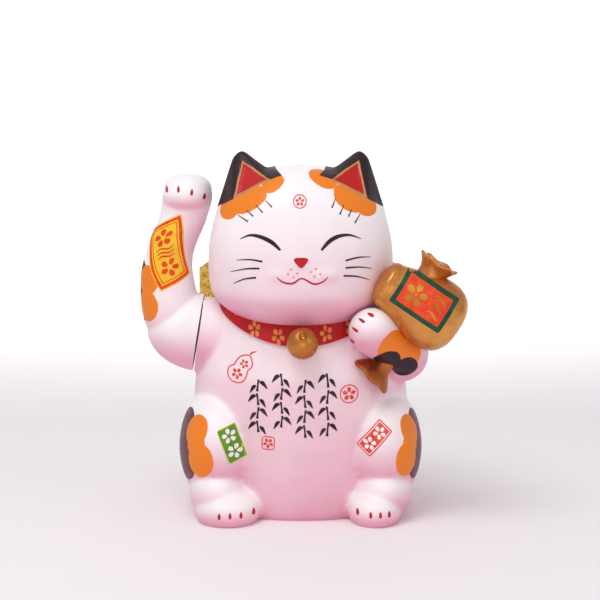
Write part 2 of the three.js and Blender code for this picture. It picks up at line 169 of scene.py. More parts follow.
def at(line, height):
    # the first number of a line of (value, height) points at that height
    for (a, za), (b, zb) in zip(line, line[1:]):
        if za <= height <= zb and zb > za:
            return a + (b - a) * (height - za) / (zb - za)
    return line[0][0] if height < line[0][1] else line[-1][0]


def drawnUp(profile, sides, centre=(0, 0), depth=1.0, lean=None):
    # a disc drawn up ring by ring through (radius, height) points; lean moves each ring sideways
    clearSelection()
    leanAt = lean or (lambda height: 0)
    x, y = centre
    radius, height = max(profile[0][0], 0.4), profile[0][1]
    bpy.ops.mesh.primitive_circle_add(vertices=sides, radius=radius * mm, fill_type="NGON",
                                      location=((x + leanAt(height)) * mm, y * mm, height * mm))
    piece = bpy.context.object
    bpy.ops.object.mode_set(mode="EDIT")
    for nextRadius, nextHeight in profile[1:]:
        nextRadius = max(nextRadius, 0.4)
        step = ((leanAt(nextHeight) - leanAt(height)) * mm, 0, (nextHeight - height) * mm)
        bpy.ops.mesh.extrude_region_move(TRANSFORM_OT_translate={"value": step})
        middle = ((x + leanAt(nextHeight)) * mm, y * mm, nextHeight * mm)
        share = nextRadius / radius
        bpy.ops.transform.resize(value=(share, share, 1), center_override=middle)
        radius, height = nextRadius, nextHeight
    bpy.ops.mesh.select_all(action="SELECT")
    bpy.ops.transform.resize(value=(1, depth, 1), center_override=(x * mm, y * mm, 0))
    bpy.ops.mesh.normals_make_consistent(inside=False)
    bpy.ops.object.mode_set(mode="OBJECT")
    return applyPlace(piece)


def lump(centre, radii):
    clearSelection()
    bpy.ops.mesh.primitive_uv_sphere_add(segments=48, ring_count=28, radius=1, location=Vector(centre) * mm)
    piece = bpy.context.object
    piece.scale = Vector(radii) * mm
    return applyPlace(piece)


def rod(a, b, startRadius, endRadius=None, sides=40):
    # a straight tapered rod between two points
    clearSelection()
    start, end = Vector(a) * mm, Vector(b) * mm
    bpy.ops.mesh.primitive_cone_add(vertices=sides, radius1=startRadius * mm,
                                    radius2=(startRadius if endRadius is None else endRadius) * mm,
                                    depth=(end - start).length, location=(start + end) / 2)
    piece = bpy.context.object
    piece.rotation_euler = (end - start).to_track_quat("Z", "Y").to_euler()
    return applyPlace(piece)


def limb(a, b, startRadius, endRadius):
    return [rod(a, b, startRadius, endRadius), lump(a, [startRadius] * 3), lump(b, [endRadius] * 3)]


def box(low, high):
    clearSelection()
    low, high = Vector(low) * mm, Vector(high) * mm
    bpy.ops.mesh.primitive_cube_add(size=1, location=(low + high) / 2)
    piece = bpy.context.object
    piece.scale = high - low
    return applyPlace(piece)


# finishes
satin = 0.28  # how strongly every finish mirrors at its front


def newFinish(name, roughness=0.5, metallic=0.0):
    finish = bpy.data.materials.new(name)
    finish.use_nodes = True
    shader = finish.node_tree.nodes["Principled BSDF"]
    shader.inputs["Roughness"].default_value = roughness
    shader.inputs["Metallic"].default_value = metallic
    shader.inputs["Specular IOR Level"].default_value = satin
    return finish


def node(finish, kind, values=None, **settings):
    made = finish.node_tree.nodes.new(kind)
    for key, value in settings.items():
        setattr(made, key, value)
    for key, value in (values or {}).items():
        if isinstance(value, bpy.types.NodeSocket):
            finish.node_tree.links.new(value, made.inputs[key])
        else:
            made.inputs[key].default_value = value
    return made


def place(finish):
    # where a point is on the piece, in metres, shared by every pattern of a finish
    found = finish.node_tree.nodes.get("Texture Coordinate")
    return (found or node(finish, "ShaderNodeTexCoord")).outputs["Object"]


def calc(finish, operation, a, b=0.0, c=None):
    values = {0: a, 1: b}
    if c is not None:
        values[2] = c
    return node(finish, "ShaderNodeMath", values, operation=operation).outputs[0]


def grain(finish, scale, detail=3.0, rough=0.5):
    return node(finish, "ShaderNodeTexNoise",
                {"Vector": place(finish), "Scale": scale, "Detail": detail, "Roughness": rough}).outputs["Fac"]


def ramp(finish, value, low, high, start=0.0, end=1.0):
    return node(finish, "ShaderNodeMapRange",
                {"Value": value, "From Min": low, "From Max": high, "To Min": start, "To Max": end},
                interpolation_type="SMOOTHSTEP").outputs["Result"]


def mixColour(finish, share, a, b):
    made = node(finish, "ShaderNodeMix", {"Factor": share}, data_type="RGBA")
    for key, value in ((6, a), (7, b)):
        if isinstance(value, bpy.types.NodeSocket):
            finish.node_tree.links.new(value, made.inputs[key])
        else:
            made.inputs[key].default_value = (*value, 1)
    return made.outputs[2]


def tint(red, green, blue):
    # an everyday 0-255 colour as the shader's linear one
    return tuple((c / 255 / 12.92) if c < 11 else ((c / 255 + 0.055) / 1.055) ** 2.4 for c in (red, green, blue))


def finishWith(finish, colour=None, rough=None, bumps=()):
    shader = finish.node_tree.nodes["Principled BSDF"]
    links = finish.node_tree.links
    if colour is not None:
        links.new(colour, shader.inputs["Base Color"])
    if rough is not None:
        links.new(rough, shader.inputs["Roughness"])
    normal = None
    for height, strength, distance in bumps:
        values = {"Height": height, "Strength": strength, "Distance": distance * mm}
        if normal is not None:
            values["Normal"] = normal
        normal = node(finish, "ShaderNodeBump", values).outputs["Normal"]
    if normal is not None:
        links.new(normal, shader.inputs["Normal"])
    return finish


def wear(piece, finish):
    if piece.material_slots:
        for hold in piece.material_slots:
            hold.material = finish
    else:
        piece.data.materials.append(finish)
    return piece


# body
body = {
    "torso": [[0, -8], [46, -8], [47.5, 0], [50.5, 3], [54, 14], [56.5, 30], [57.3, 48], [57, 62], [55.8, 75],
              [53, 88], [49, 100], [43.5, 110], [34, 118], [20, 122.5], [0, 124]],
    "depth": 0.78, "y": 1,
    "chest": {"from": 75, "height": 45, "narrower": 0.12, "back": 3},
    "nape": [(0, 14, 106), (37, 25, 24)],
    "haunches": [[(-43.5, -9, 35), (21.3, 37, 32)], [(43.5, -9, 35), (21.3, 37, 32)]],
    "feet": [[(-38.2, -33, 6), (17.5, 22, 12.5)], [(39, -33, 6), (14.5, 22, 12.5)]],
    "ankles": [[(-43.5, -24, 14), (15.5, 25, 16)], [(43.5, -24, 14), (15.5, 25, 16)]],
    "tail": [(12, 46, 16), (11, 9, 12)],
    "upperArm": [(49, 2, 101), (53, -14, 85), 15.5, 14.8],
    "foreArm": [(55.5, -19.5, 87), (37, -37.5, 100.5), 12.2, 12.5],
    "voxel": 1.15, "easing": 9,
    "around": 96,  # sides of a large round
    "cavity": [[0, 4.3], [37, 4.3], [37, 8.5], [50, 18], [53, 32], [54, 48], [53.6, 62], [52.4, 75],
               [49.5, 88], [46.5, 98.5], [40, 101.8], [26, 97.6], [0, 97.4]],
    "mouth": [41.35, -1, 4.4], "throat": [18, 90, 130],
}
pivot = {
    "x": -54.3, "z": 94.4, "tilt": 9, "seam": 0.5, "boss": [20, 0.4, -1.5, 24], "pocket": [15.5, 4.2, 15],
    "bush": [4.4, -1, 6], "room": [(13, -15.8, -12), (39, 15.8, 6.2)], "face": [(-9, -26, -24.5), (0.5, 26, 26)],
}
axleTurn = Matrix.Rotation(math.radians(pivot["tilt"]), 4, "Y")
axlePlace = Matrix.Translation((pivot["x"] * mm, 0, pivot["z"] * mm)) @ axleTurn
axleWay = axleTurn @ Vector((1, 0, 0))  # inwards along the axle


def alongAxle(piece):
    # carries a piece made about the axle's own X into its place
    piece.matrix_world = axlePlace @ piece.matrix_world
    return applyPlace(piece)


def towardsNeck(piece):
    chest = body["chest"]
    for corner in piece.data.vertices:
        rise = max(0, (corner.co.z / mm - chest["from"]) / chest["height"])
        corner.co.y = corner.co.y * (1 - chest["narrower"] * rise) + chest["back"] * rise * mm
    return piece


def torsoForm(profile):
    line = profile[:2] + curveThrough(profile[2:], 4)
    return towardsNeck(drawnUp(line, body["around"], (0, body["y"]), body["depth"]))


def bodySkin():
    parts = [torsoForm(body["torso"]), lump(*body["nape"]), lump(*body["tail"])]
    parts += [lump(*size) for size in body["haunches"] + body["feet"] + body["ankles"]]
    parts += limb(*body["upperArm"]) + limb(*body["foreArm"])
    radius, below, start, end = pivot["boss"]
    parts.append(alongAxle(rod((start, 0, -below), (end, 0, -below), radius, sides=64)))
    skin = soften(join("cat_body", parts), body["voxel"], body["easing"])
    return trim(skin, (0, 0, 0), (0, 0, -1))


catBody = bodySkin()
radius, low, high = body["mouth"]
opening = drawnUp([[radius, low], [radius, high]], body["around"], (0, body["y"]), body["depth"])
radius, low, high = body["throat"]
throat = rod((0, 0, low), (0, 0, high), radius, sides=64)
cavity = towardsNeck(drawnUp(body["cavity"], 64, (0, body["y"]), body["depth"]))
pocket, bushHole = (alongAxle(rod((start, 0, 0), (end, 0, 0), radius, sides=sides))
                    for (radius, start, end), sides in ((pivot["pocket"], 64), (pivot["bush"], 32)))
cutOut(catBody, opening, cavity, throat, pocket, alongAxle(box(*pivot["room"])), bushHole)
cutOut(catBody, alongAxle(box(*pivot["face"])))  # the shoulder's flat face, where the arm turns
smoothShade(catBody)
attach(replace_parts(catBody, "body_casting"), "figure")
print("body:", len(catBody.data.polygons), "faces")

# head
head = {
    "profile": [[0, 101], [25.7, 102.4], [36.9, 107.2], [46.2, 116.2], [48.5, 127], [48.5, 141.7],
                [46, 154.7], [42.3, 164.7], [36.5, 172.7], [29.5, 178.7], [19.5, 182.9], [8, 184.8], [0, 185]],
    "y": -9, "depth": 0.86, "voxel": 0.95, "easing": 12,
    "muzzle": [[(-7.5, -39.6, 131.5), (16, 11, 11)], [(8.5, -39.6, 131.5), (16, 11, 11)]],
    "nose": [(0.3, -48.4, 137.6), (4.4, 3.4, 3.2)],
}
ear = {  # the left ear: rounded corners as (centre, radius), and the triangle sunk into its front
    "corners": [[(-30.9, -8.6, 189.4), 3.1], [(-33.6, -8.4, 187.4), 2.6], [(-41.2, -11, 160), 3.6],
                [(-33.5, -24.5, 164.5), 3], [(-17, -25, 174), 3], [(-12, -15, 176.6), 2.4],
                [(-20, 3, 172), 5], [(-36, 1, 160), 5]],
    "hollow": [(-30.4, -14.5, 187.2), (-34.4, -26.5, 168.8), (-16.4, -29.3, 178.6)], "deep": 1.7, "cut": 14,
}


def onSide(corner, side):
    return (corner[0] * side, corner[1], corner[2])


def earBlade(side):
    # a skin drawn tight over the ear's rounded corners
    blade = join("ear", [lump(onSide(spot, side), [radius] * 3) for spot, radius in ear["corners"]])
    editAll(blade)
    bpy.ops.mesh.convex_hull()
    bpy.ops.object.mode_set(mode="OBJECT")
    return blade


def earHollow(side):
    # a prism through the ear's front, to sink its inner triangle
    a, b, c = (Vector(onSide(corner, side)) * mm for corner in ear["hollow"])
    out = (b - a).cross(c - a).normalized()
    out = out if out.y < 0 else -out
    clearSelection()
    bpy.ops.mesh.primitive_circle_add(vertices=3, radius=10 * mm, fill_type="NGON")
    prism = bpy.context.object
    for corner, spot in zip(prism.data.vertices, (a, b, c)):
        corner.co = spot - out * ear["deep"] * mm
    editAll(prism)
    bpy.ops.mesh.extrude_region_move(TRANSFORM_OT_translate={"value": out * ear["cut"] * mm})
    return faceOutward(prism)


def headSkin():
    line = curveThrough([(max(r, 0.4), z) for r, z in head["profile"]], 4)
    parts = [drawnUp(line, body["around"], (0, head["y"]), head["depth"]), lump(*head["nose"])]
    parts += [lump(*size) for size in head["muzzle"]]
    parts += [earBlade(side) for side in (1, -1)]
    skin = soften(join("cat_head", parts), head["voxel"], head["easing"])
    cutOut(skin, earHollow(1), earHollow(-1))
    modify(skin, "REMESH", mode="VOXEL", voxel_size=head["voxel"] * mm)
    return modify(skin, "SMOOTH", factor=0.5, iterations=2)


catHead = smoothShade(headSkin(), 60)
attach(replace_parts(catHead, "head_casting"), "figure")
print("head:", len(catHead.data.polygons), "faces")

# swinging arm
arm = {
    "profile": [[0, 88], [10, 90], [14, 97], [15.5, 108], [14.6, 120], [13.4, 130], [12.7, 138],
                [13, 146], [12.8, 158], [13.3, 166], [13, 171], [11.5, 175.5], [7, 178.6], [0, 179.8]],
    "middle": [(-66, 84), (-68.5, 100), (-70, 112), (-71.3, 126), (-70.3, 135), (-67.3, 145), (-64, 152),
               (-61.6, 159), (-60.2, 166), (-60, 172), (-60, 184)],
    "elbow": (28, 20.8, 20.8), "wall": 1.5, "voxel": 0.85, "easing": 6, "mouth": [17.6, -6, 2],
    "paw": [(-60.5, -3.2, 168), (12.6, 12.6, 10)], "centre": (134, 46), "open": -2.2, "hollowVoxel": 1.6,
}
armMiddle = curveThrough(arm["middle"], 6)


def armForm(shrink, sides):
    middle, half = arm["centre"]
    line = [(max(r - shrink, 0.4), middle + (z - middle) * (half - shrink) / half)
            for r, z in curveThrough(arm["profile"], 4)]
    raised = drawnUp(line, sides, lean=lambda height: at(armMiddle, height))
    return [raised, alongAxle(lump((0, 0, 0), [size - shrink for size in arm["elbow"]]))]


def armSkin():
    skin = soften(join("cat_arm", armForm(0, 64) + [lump(*arm["paw"])]), arm["voxel"], arm["easing"])
    trim(skin, axlePlace @ Vector((-pivot["seam"] * mm, 0, 0)), axleWay)
    hollow = soften(join("hollow", armForm(arm["wall"], 32)), arm["hollowVoxel"], 2)
    trim(hollow, axlePlace @ Vector((arm["open"] * mm, 0, 0)), axleWay)
    radius, start, end = arm["mouth"]
    return cutOut(skin, hollow, alongAxle(rod((start, 0, 0), (end, 0, 0), radius, sides=64)))


catArm = smoothShade(armSkin())
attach(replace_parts(catArm, "arm_shell"), "arm")
print("arm:", len(catArm.data.polygons), "faces")

# painted finishes of the casting
# the second colour is painted pink bounce light, laid where faces turn down; it is not a paint of the cat
paintWhite, paintedBounceTint = tint(250, 248, 249), tint(232, 158, 182)
paintOrange, paintBlack, paintDark = tint(240, 132, 28), tint(40, 24, 31), tint(46, 20, 36)
paintDusk = tint(98, 44, 66)
paintRed, paintTan = tint(190, 22, 26), tint(196, 140, 84)
paintGrime = (0.2, 0.1, 0.11)
paintedBounce = {"fade": 1.25, "most": 0.95}  # how much the facing falls while the painted pink bounce light rises to its most


def blot(finish, centre, radii, turn=0):
    # how far a point is inside an egg-shaped blot, in metres
    spot = node(finish, "ShaderNodeMapping",
                {"Vector": place(finish), "Location": Vector(centre) * mm,
                 "Rotation": (0, math.radians(turn), 0), "Scale": Vector(radii) * mm}, vector_type="TEXTURE")
    far = node(finish, "ShaderNodeVectorMath", {0: spot.outputs[0]}, operation="LENGTH").outputs["Value"]
    return calc(finish, "MULTIPLY", calc(finish, "SUBTRACT", 1.0, far), min(radii) * mm)


def above(finish, a, b):
    # how far a point is to the left of the line from a to b, both (across, up)
    along = Vector((b[0] - a[0], b[1] - a[1])).normalized()
    side = Vector((-along.y, 0, along.x))
    reach = node(finish, "ShaderNodeVectorMath", {0: place(finish), 1: side}, operation="DOT_PRODUCT")
    return calc(finish, "SUBTRACT", reach.outputs["Value"], (side.x * a[0] + side.z * a[1]) * mm)


def union(finish, fields):
    whole = fields[0]
    for field in fields[1:]:
        whole = calc(finish, "MAXIMUM", whole, field)
    return whole


def overlap(finish, fields):
    whole = fields[0]
    for field in fields[1:]:
        whole = calc(finish, "MINIMUM", whole, field)
    return whole


def painted(finish, ground, colour, field, edge=0.22):
    wander = calc(finish, "MULTIPLY_ADD", grain(finish, 160.0, 2.0), 0.9 * mm, -0.45 * mm)
    share = ramp(finish, calc(finish, "ADD", field, wander), -edge * mm, edge * mm)
    return mixColour(finish, share, ground, colour)


def castingPaint(name, markings, paintedBounceFrom):
    # white satin paint with painted pink bounce light where it faces down, and patches laid over it
    finish = newFinish(name, 0.42)
    facing = node(finish, "ShaderNodeSeparateXYZ",
                  {0: node(finish, "ShaderNodeTexCoord").outputs["Normal"]}).outputs["Z"]
    # painted pink bounce light: the further a face turns down, the pinker its colour
    low = ramp(finish, facing, paintedBounceFrom, paintedBounceFrom - paintedBounce["fade"], 0.0, paintedBounce["most"])
    cloud = calc(finish, "MULTIPLY", low, ramp(finish, grain(finish, 26.0, 2.0), 0.3, 0.7, 0.82, 1.0))
    ground = mixColour(finish, cloud, paintWhite, paintedBounceTint)
    for colour, field in markings(finish):
        ground = painted(finish, ground, colour, field)
    strokes = grain(finish, 420.0, 4.0, 0.6)
    grime = ramp(finish, grain(finish, 90.0, 5.0), 0.35, 0.75, 0.0, 0.05)
    ground = mixColour(finish, grime, ground, paintGrime)
    rough = ramp(finish, strokes, 0.3, 0.7, 0.36, 0.5)
    return finishWith(finish, ground, rough, bumps=[(grain(finish, 140.0, 2.0), 0.22, 0.5), (strokes, 0.16, 0.12)])


patches = {
    "haunchDark": [[(-61.5, -21, 46.5), (13, 14, 11.5)], [(-59.5, -26, 31), (13, 14, 10.8)],
                   [(-60, -26, 39), (9, 12, 9)],
                   [(62.5, -20, 46.5), (12.5, 13, 11)], [(60.5, -25, 31), (12, 13, 10.5)]],
    "haunchOrange": [[(-55.6, -36.5, 48.6), (8.2, 9.5, 9)], [(-52.4, -41, 33.4), (8.2, 9.5, 9.2)],
                     [(-55, -39, 41), (6.6, 8, 6)], [(58.6, -33, 48.6), (7.8, 9.5, 9)],
                     [(55.2, -38, 33.4), (7.8, 9.5, 9.2)], [(58, -36, 41), (6, 8, 6)]],
    "elbowOrange": [[(46.6, -41, 94.4), (8.8, 10, 8.2)], [(56.4, -35, 88), (8.4, 9, 8)]],
    "elbowDark": [[(44.8, -38, 85.6), (7.4, 8.5, 7)], [(54.6, -32, 79.6), (7.6, 9, 7.4)],
                  [(48, -36, 78), (5, 7, 5)]],
    "tailDark": [[(13, 53, 19), (10, 9, 9)]],
    "backOrange": [[(-20, 44, 62), (14, 16, 13)], [(-30, 38, 48), (10, 14, 10)]],
    "backDark": [[(-13, 45, 50), (9, 12, 8)]],
    "armDark": [[(-84.5, -1, 123), (11, 10, 11)], [(-83, 3, 107), (11, 10, 10)]],
    "armOrange": [[(-81.5, -10.5, 124), (7.2, 8.5, 8)], [(-81, -9, 110), (7.4, 8.5, 8.4)]],
    "browOrange": [[(-37.4, -27, 163.6), (6.4, 14, 5.6), -14], [(-26.5, -32, 168.4), (11, 13, 6.2), -26],
                   [(-14.5, -31, 176.4), (6.6, 12, 4.2), -32], [(33.8, -28, 165.4), (6.6, 14, 5.8), 16],
                   [(25, -33, 169.4), (9.5, 13, 6.6), 34], [(11.5, -30, 179.4), (8.4, 12, 4.6), 32]],
    "earLine": [(-45, 162.3), (-18.5, 178.2), (-7.5, 181.4)], "earEnd": [(-9, 180.2), (-17, 187.5)],
    "earFront": -8.5, "earRim": (0.25, -0.75),
}


def blots(finish, name):
    return union(finish, [blot(finish, *size) for size in patches[name]])


def headPatches(finish):
    low, middle, inner = patches["earLine"]
    start, end = patches["earEnd"]
    tanRim, redRim = patches["earRim"]
    yield paintOrange, blots(finish, "browOrange")
    black, tan, red = [], [], []
    for side in (1, -1):
        def line(a, b):
            a, b = (a[0] * side, a[1]), (b[0] * side, b[1])
            return above(finish, a, b) if side > 0 else above(finish, b, a)
        top = union(finish, [line(low, middle), line(middle, inner)])
        black.append(overlap(finish, [top, line(start, end)]))
        tip, outer, inside = [(x, z) for x, y, z in ear["hollow"]]
        edges = overlap(finish, [line(outer, inside), line(inside, tip), line(tip, outer)])
        tan.append(calc(finish, "ADD", edges, tanRim * mm))
        red.append(calc(finish, "ADD", edges, redRim * mm))
    yield paintBlack, union(finish, black)
    front = node(finish, "ShaderNodeSeparateXYZ", {0: place(finish)}).outputs["Y"]
    ahead = calc(finish, "SUBTRACT", patches["earFront"] * mm, front)
    yield paintTan, overlap(finish, [union(finish, tan), ahead])
    yield paintRed, overlap(finish, [union(finish, red), ahead])


def bodyPatches(finish):
    for colour, name in ((paintDusk, "haunchDark"), (paintOrange, "haunchOrange"), (paintOrange, "elbowOrange"),
                         (paintDark, "elbowDark"), (paintOrange, "backOrange"), (paintDark, "backDark"),
                         (paintDark, "tailDark")):
        yield colour, blots(finish, name)


def armPatches(finish):
    yield paintDark, blots(finish, "armDark")
    yield paintOrange, blots(finish, "armOrange")


# the last number is where each piece's painted pink bounce light begins, by how far its faces turn down
wear(catHead, castingPaint("head paint", headPatches, 0.42))
wear(catBody, castingPaint("body paint", bodyPatches, 0.7))
wear(catArm, castingPaint("arm paint", armPatches, 0.4))
print("casting painted")


# brushed marks: flat shapes laid on the casting
def inkPaint(name, colour, shade, roughness=0.4, metallic=0.0):
    finish = newFinish(name, roughness, metallic)
    colour, shade = tint(*colour), tint(*shade)
    pool = ramp(finish, grain(finish, 260.0, 4.0), 0.35, 0.7)
    drag = grain(finish, 900.0, 5.0, 0.7)
    return finishWith(finish, mixColour(finish, pool, colour, shade),
                      ramp(finish, drag, 0.3, 0.7, roughness - 0.08, roughness + 0.12), bumps=[(drag, 0.25, 0.08)])


def stroke(points, widths, steps=5):
    # the outline of a brush stroke through the points, as wide as given at each of them
    line = curveThrough([(*point, width) for point, width in zip(points, widths)], steps)
    left, right = [], []
    for i, (x, z, width) in enumerate(line):
        (ax, az, _), (bx, bz, _) = line[max(i - 1, 0)], line[min(i + 1, len(line) - 1)]
        far = math.hypot(bx - ax, bz - az) or 1
        nx, nz = -(bz - az) / far * max(width, 0.12) / 2, (bx - ax) / far * max(width, 0.12) / 2
        left.append((x + nx, z + nz))
        right.append((x - nx, z - nz))
    return left + right[::-1]


def loopLine(points, width, steps=5):
    # a closed line of even width: its outer and inner outlines
    closed = curveThrough([points[-1], *points, points[0], points[1]], steps)[steps:-steps]
    count = len(closed) - 1
    outer, inner = [], []
    for i in range(count):
        (ax, az), (bx, bz) = closed[(i - 1) % count], closed[(i + 1) % count]
        far = math.hypot(bx - ax, bz - az) or 1
        nx, nz = -(bz - az) / far * width / 2, (bx - ax) / far * width / 2
        x, z = closed[i]
        outer.append((x + nx, z + nz))
        inner.append((x - nx, z - nz))
    return [outer, inner]


def dab(x, z, long, wide, turn=0, sides=14):
    # a small pointed oval, long upwards until it is turned
    c, s = math.cos(math.radians(turn)), math.sin(math.radians(turn))
    points = []
    for i in range(sides):
        a = 2 * math.pi * i / sides
        u, v = wide / 2 * math.sin(a) * (1 - 0.25 * math.cos(a)), long / 2 * math.cos(a)
        points.append((x + u * c - v * s, z + u * s + v * c))
    return points


def blossom(x, z, size, turn=0, petals=5):
    shapes = []
    for i in range(petals):
        angle = turn + 360 * i / petals
        a = math.radians(angle)
        shapes.append(dab(x - math.sin(a) * size * 0.33, z + math.cos(a) * size * 0.33,
                          size * 0.4, size * 0.3, angle + 180, 12))
    return shapes


def disc(x, z, radius, sides=24):
    return [(x + radius * math.cos(2 * math.pi * i / sides), z + radius * math.sin(2 * math.pi * i / sides))
            for i in range(sides)]


def ring(x, z, radius, width):
    return [disc(x, z, radius), disc(x, z, radius - width)]


def oblong(wide, high, corner=1.0):
    points = []
    for sx, sz, start in ((1, 1, 0), (-1, 1, 90), (-1, -1, 180), (1, -1, 270)):
        for step in range(4):
            a = math.radians(start + step * 30)
            points.append((sx * (wide / 2 - corner) + corner * math.cos(a),
                           sz * (high / 2 - corner) + corner * math.sin(a)))
    return points


def border(wide, high, band, corner=1.0):
    return [oblong(wide, high, corner), oblong(wide - 2 * band, high - 2 * band, corner * 0.6)]


def swung(shapes, turn, x=0, z=0):
    c, s = math.cos(math.radians(turn)), math.sin(math.radians(turn))
    return [[(x + u * c - v * s, z + u * s + v * c) for u, v in shape] for shape in shapes]


def flatLayer(name, shapes, pitch):
    # filled outlines in the X-Y plane, cut up finely enough to bend
    clearSelection()
    line = bpy.data.curves.new(name, "CURVE")
    line.dimensions, line.fill_mode = "2D", "BOTH"
    for shape in shapes:
        spline = line.splines.new("POLY")
        spline.points.add(len(shape) - 1)
        for point, (x, z) in zip(spline.points, shape):
            point.co = (x * mm, z * mm, 0, 1)
        spline.use_cyclic_u = True
    layer = bpy.data.objects.new(name, line)
    bpy.context.collection.objects.link(layer)
    only(layer)
    bpy.ops.object.convert(target="MESH")
    layer = bpy.context.object
    editAll(layer)
    bpy.ops.mesh.remove_doubles(threshold=1e-6)
    for axis, way in ((0, (1, 0, 0)), (1, (0, 1, 0))):
        spots = [point[axis] for shape in shapes for point in shape]
        for i in range(1, int((max(spots) - min(spots)) / pitch) + 1):
            bpy.ops.mesh.select_all(action="SELECT")
            bpy.ops.mesh.bisect(plane_co=Vector(way) * (min(spots) + i * pitch) * mm, plane_no=way)
    bpy.ops.object.mode_set(mode="OBJECT")
    return layer


def thicken(layer, name, proud):
    # drops what found nothing to lie on, and gives the rest a thin body
    only(layer)
    bpy.ops.object.mode_set(mode="EDIT")
    bpy.ops.mesh.select_mode(type="VERT")
    bpy.ops.mesh.delete(type="VERT")
    bpy.ops.object.mode_set(mode="OBJECT")
    modify(layer, "SOLIDIFY", thickness=2 * proud * mm, offset=0)
    return smoothShade(named(faceOutward(layer), name), 50)


def chooseCorners(layer, missed):
    only(layer)
    bpy.ops.object.mode_set(mode="EDIT")
    bpy.ops.mesh.select_all(action="DESELECT")
    bpy.ops.object.mode_set(mode="OBJECT")
    for corner in layer.data.vertices:
        corner.select = missed(corner)


flatStart, wrapStart = 0.2, 0.15  # in metres, where a layer starts before it is laid on its piece


def inkLayer(name, target, finish, shapes, rides="figure", proud=0.14, pitch=1.5):
    # flat shapes pressed straight back onto the target from the front
    layer = flatLayer(name, shapes, pitch)
    layer.rotation_euler = (math.radians(90), 0, 0)
    layer.location = (0, -flatStart, 0)
    modify(layer, "SHRINKWRAP", target=target, wrap_method="PROJECT", use_project_z=True,
           use_negative_direction=True, use_positive_direction=False)
    chooseCorners(layer, lambda corner: abs(corner.co.z) < 1e-5)
    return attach(wear(thicken(applyPlace(layer), name, proud), finish), rides)


def wrappedLayer(name, target, finish, shapes, axisAt, radius, heightAt=None, rides="figure", proud=0.14,
                 pitch=1.5):
    # flat shapes wrapped round an upright axis: across becomes an angle, 0 in front and + towards +X
    layer = flatLayer(name, shapes, pitch)
    missed = set()
    for corner in layer.data.vertices:
        angle, height = corner.co.x / (radius * mm), corner.co.y
        out = Vector((math.sin(angle), -math.cos(angle), 0))
        if heightAt:
            height += heightAt(angle) * mm
        x, y = axisAt(height / mm)
        middle = Vector((x * mm, y * mm, height))
        hit, spot = target.ray_cast(middle + out * wrapStart, -out)[:2]
        if hit:
            corner.co = spot
        else:
            missed.add(corner.index)
    chooseCorners(layer, lambda corner: corner.index in missed)
    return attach(wear(thicken(layer, name, proud), finish), rides)


inks = {
    "aubergine": inkPaint("aubergine ink", (44, 18, 36), (66, 34, 54)),
    "black": inkPaint("black ink", (30, 22, 28), (58, 46, 54)),
    "red": inkPaint("red ink", (196, 30, 30), (170, 22, 24)),
    "vermilion": inkPaint("vermilion ink", (218, 62, 48), (228, 96, 82)),
    "pink": inkPaint("pink ink", (236, 150, 158), (226, 128, 140)),
    "green": inkPaint("green paint", (98, 158, 34), (80, 140, 28)),
    "lime": inkPaint("lime edge", (190, 206, 72), (170, 190, 60)),
    "deepGreen": inkPaint("deep green paint", (16, 84, 58), (12, 66, 46)),
    "orangeRed": inkPaint("orange red paint", (236, 78, 34), (216, 62, 28)),
    "yellow": inkPaint("yellow paint", (248, 206, 48), (240, 188, 36)),
    "white": inkPaint("white paint mark", (250, 248, 246), (238, 232, 232)),
    "paleGold": inkPaint("pale gold ink", (232, 150, 84), (212, 120, 62), 0.32, 0.3),
}
lids = [[(-31, 149), (-26, 151.2), (-20.5, 150.7), (-14.7, 148.2), (-10.3, 144.3)],
        [(31, 149.2), (25, 151.4), (19.3, 151), (14.6, 148.6), (10.6, 144.3)]]
lashes = [[(-32.5, 161), (-27, 158)], [(-27.8, 163.6), (-24.3, 160.8)], [(-23, 166.4), (-19.4, 162.8)],
          [(-18, 168.9), (-14.6, 165.6)], [(18, 170), (16, 165.3)], [(22.2, 166.4), (20, 161.8)],
          [(26.2, 164), (24.5, 160.6)], [(30.6, 161.6), (27.8, 157.2)]]
whiskers = [[(-33, 138.1), (-26, 138.9), (-19.5, 138.2)], [(-36, 131.8), (-28, 134), (-21, 134.6)],
            [(-34.5, 125.8), (-29, 128.6), (-22.8, 129.8)], [(36.2, 139.4), (30, 139.8), (23, 138.6)],
            [(36.8, 133.4), (30, 134.8), (23, 134.8)], [(35.6, 127.6), (29, 130), (22, 130.8)]]
mouth = [(-12.2, 130.6), (-9, 128), (-4, 127.4), (0.6, 130), (6.6, 127.1), (11, 128), (14, 130.6)]
fine = [stroke(line, [0.28, 0.75]) for line in lashes] + [stroke(line, [0.25, 0.7, 0.95]) for line in whiskers]
noseShape = [(-3.4, 139.8), (-2, 140.5), (2.4, 140.5), (3.8, 139.8), (3.4, 138.4), (1.4, 136), (0.3, 135.4),
             (-0.9, 136), (-3, 138.4)]
freckles = [(-4.8, 134.6), (-6.4, 132.2), (-1.6, 132.6), (-3.6, 130.6), (5.2, 133.4), (7.7, 134.8), (7, 130.9),
            (10, 132.2)]
inkLayer("eyes", catHead, inks["aubergine"], [stroke(line, [0.3, 1.1, 1.9, 2.1, 1.1]) for line in lids])
inkLayer("lashes_and_whiskers", catHead, inks["aubergine"], fine)
inkLayer("nose", catHead, inks["red"], [curveThrough(noseShape + noseShape[:1], 3)[:-1]], proud=0.22)
inkLayer("mouth", catHead, inks["red"], [stroke(mouth, [0.3, 0.8, 0.95, 0.7, 0.95, 0.8, 0.3])])
inkLayer("freckles", catHead, inks["pink"], [disc(x, z, 0.55, 10) for x, z in freckles])
inkLayer("brow_seal", catHead, inks["vermilion"], ring(-0.4, 168.6, 3.5, 0.5) + blossom(-0.4, 168.6, 4.4))
print("face drawn")

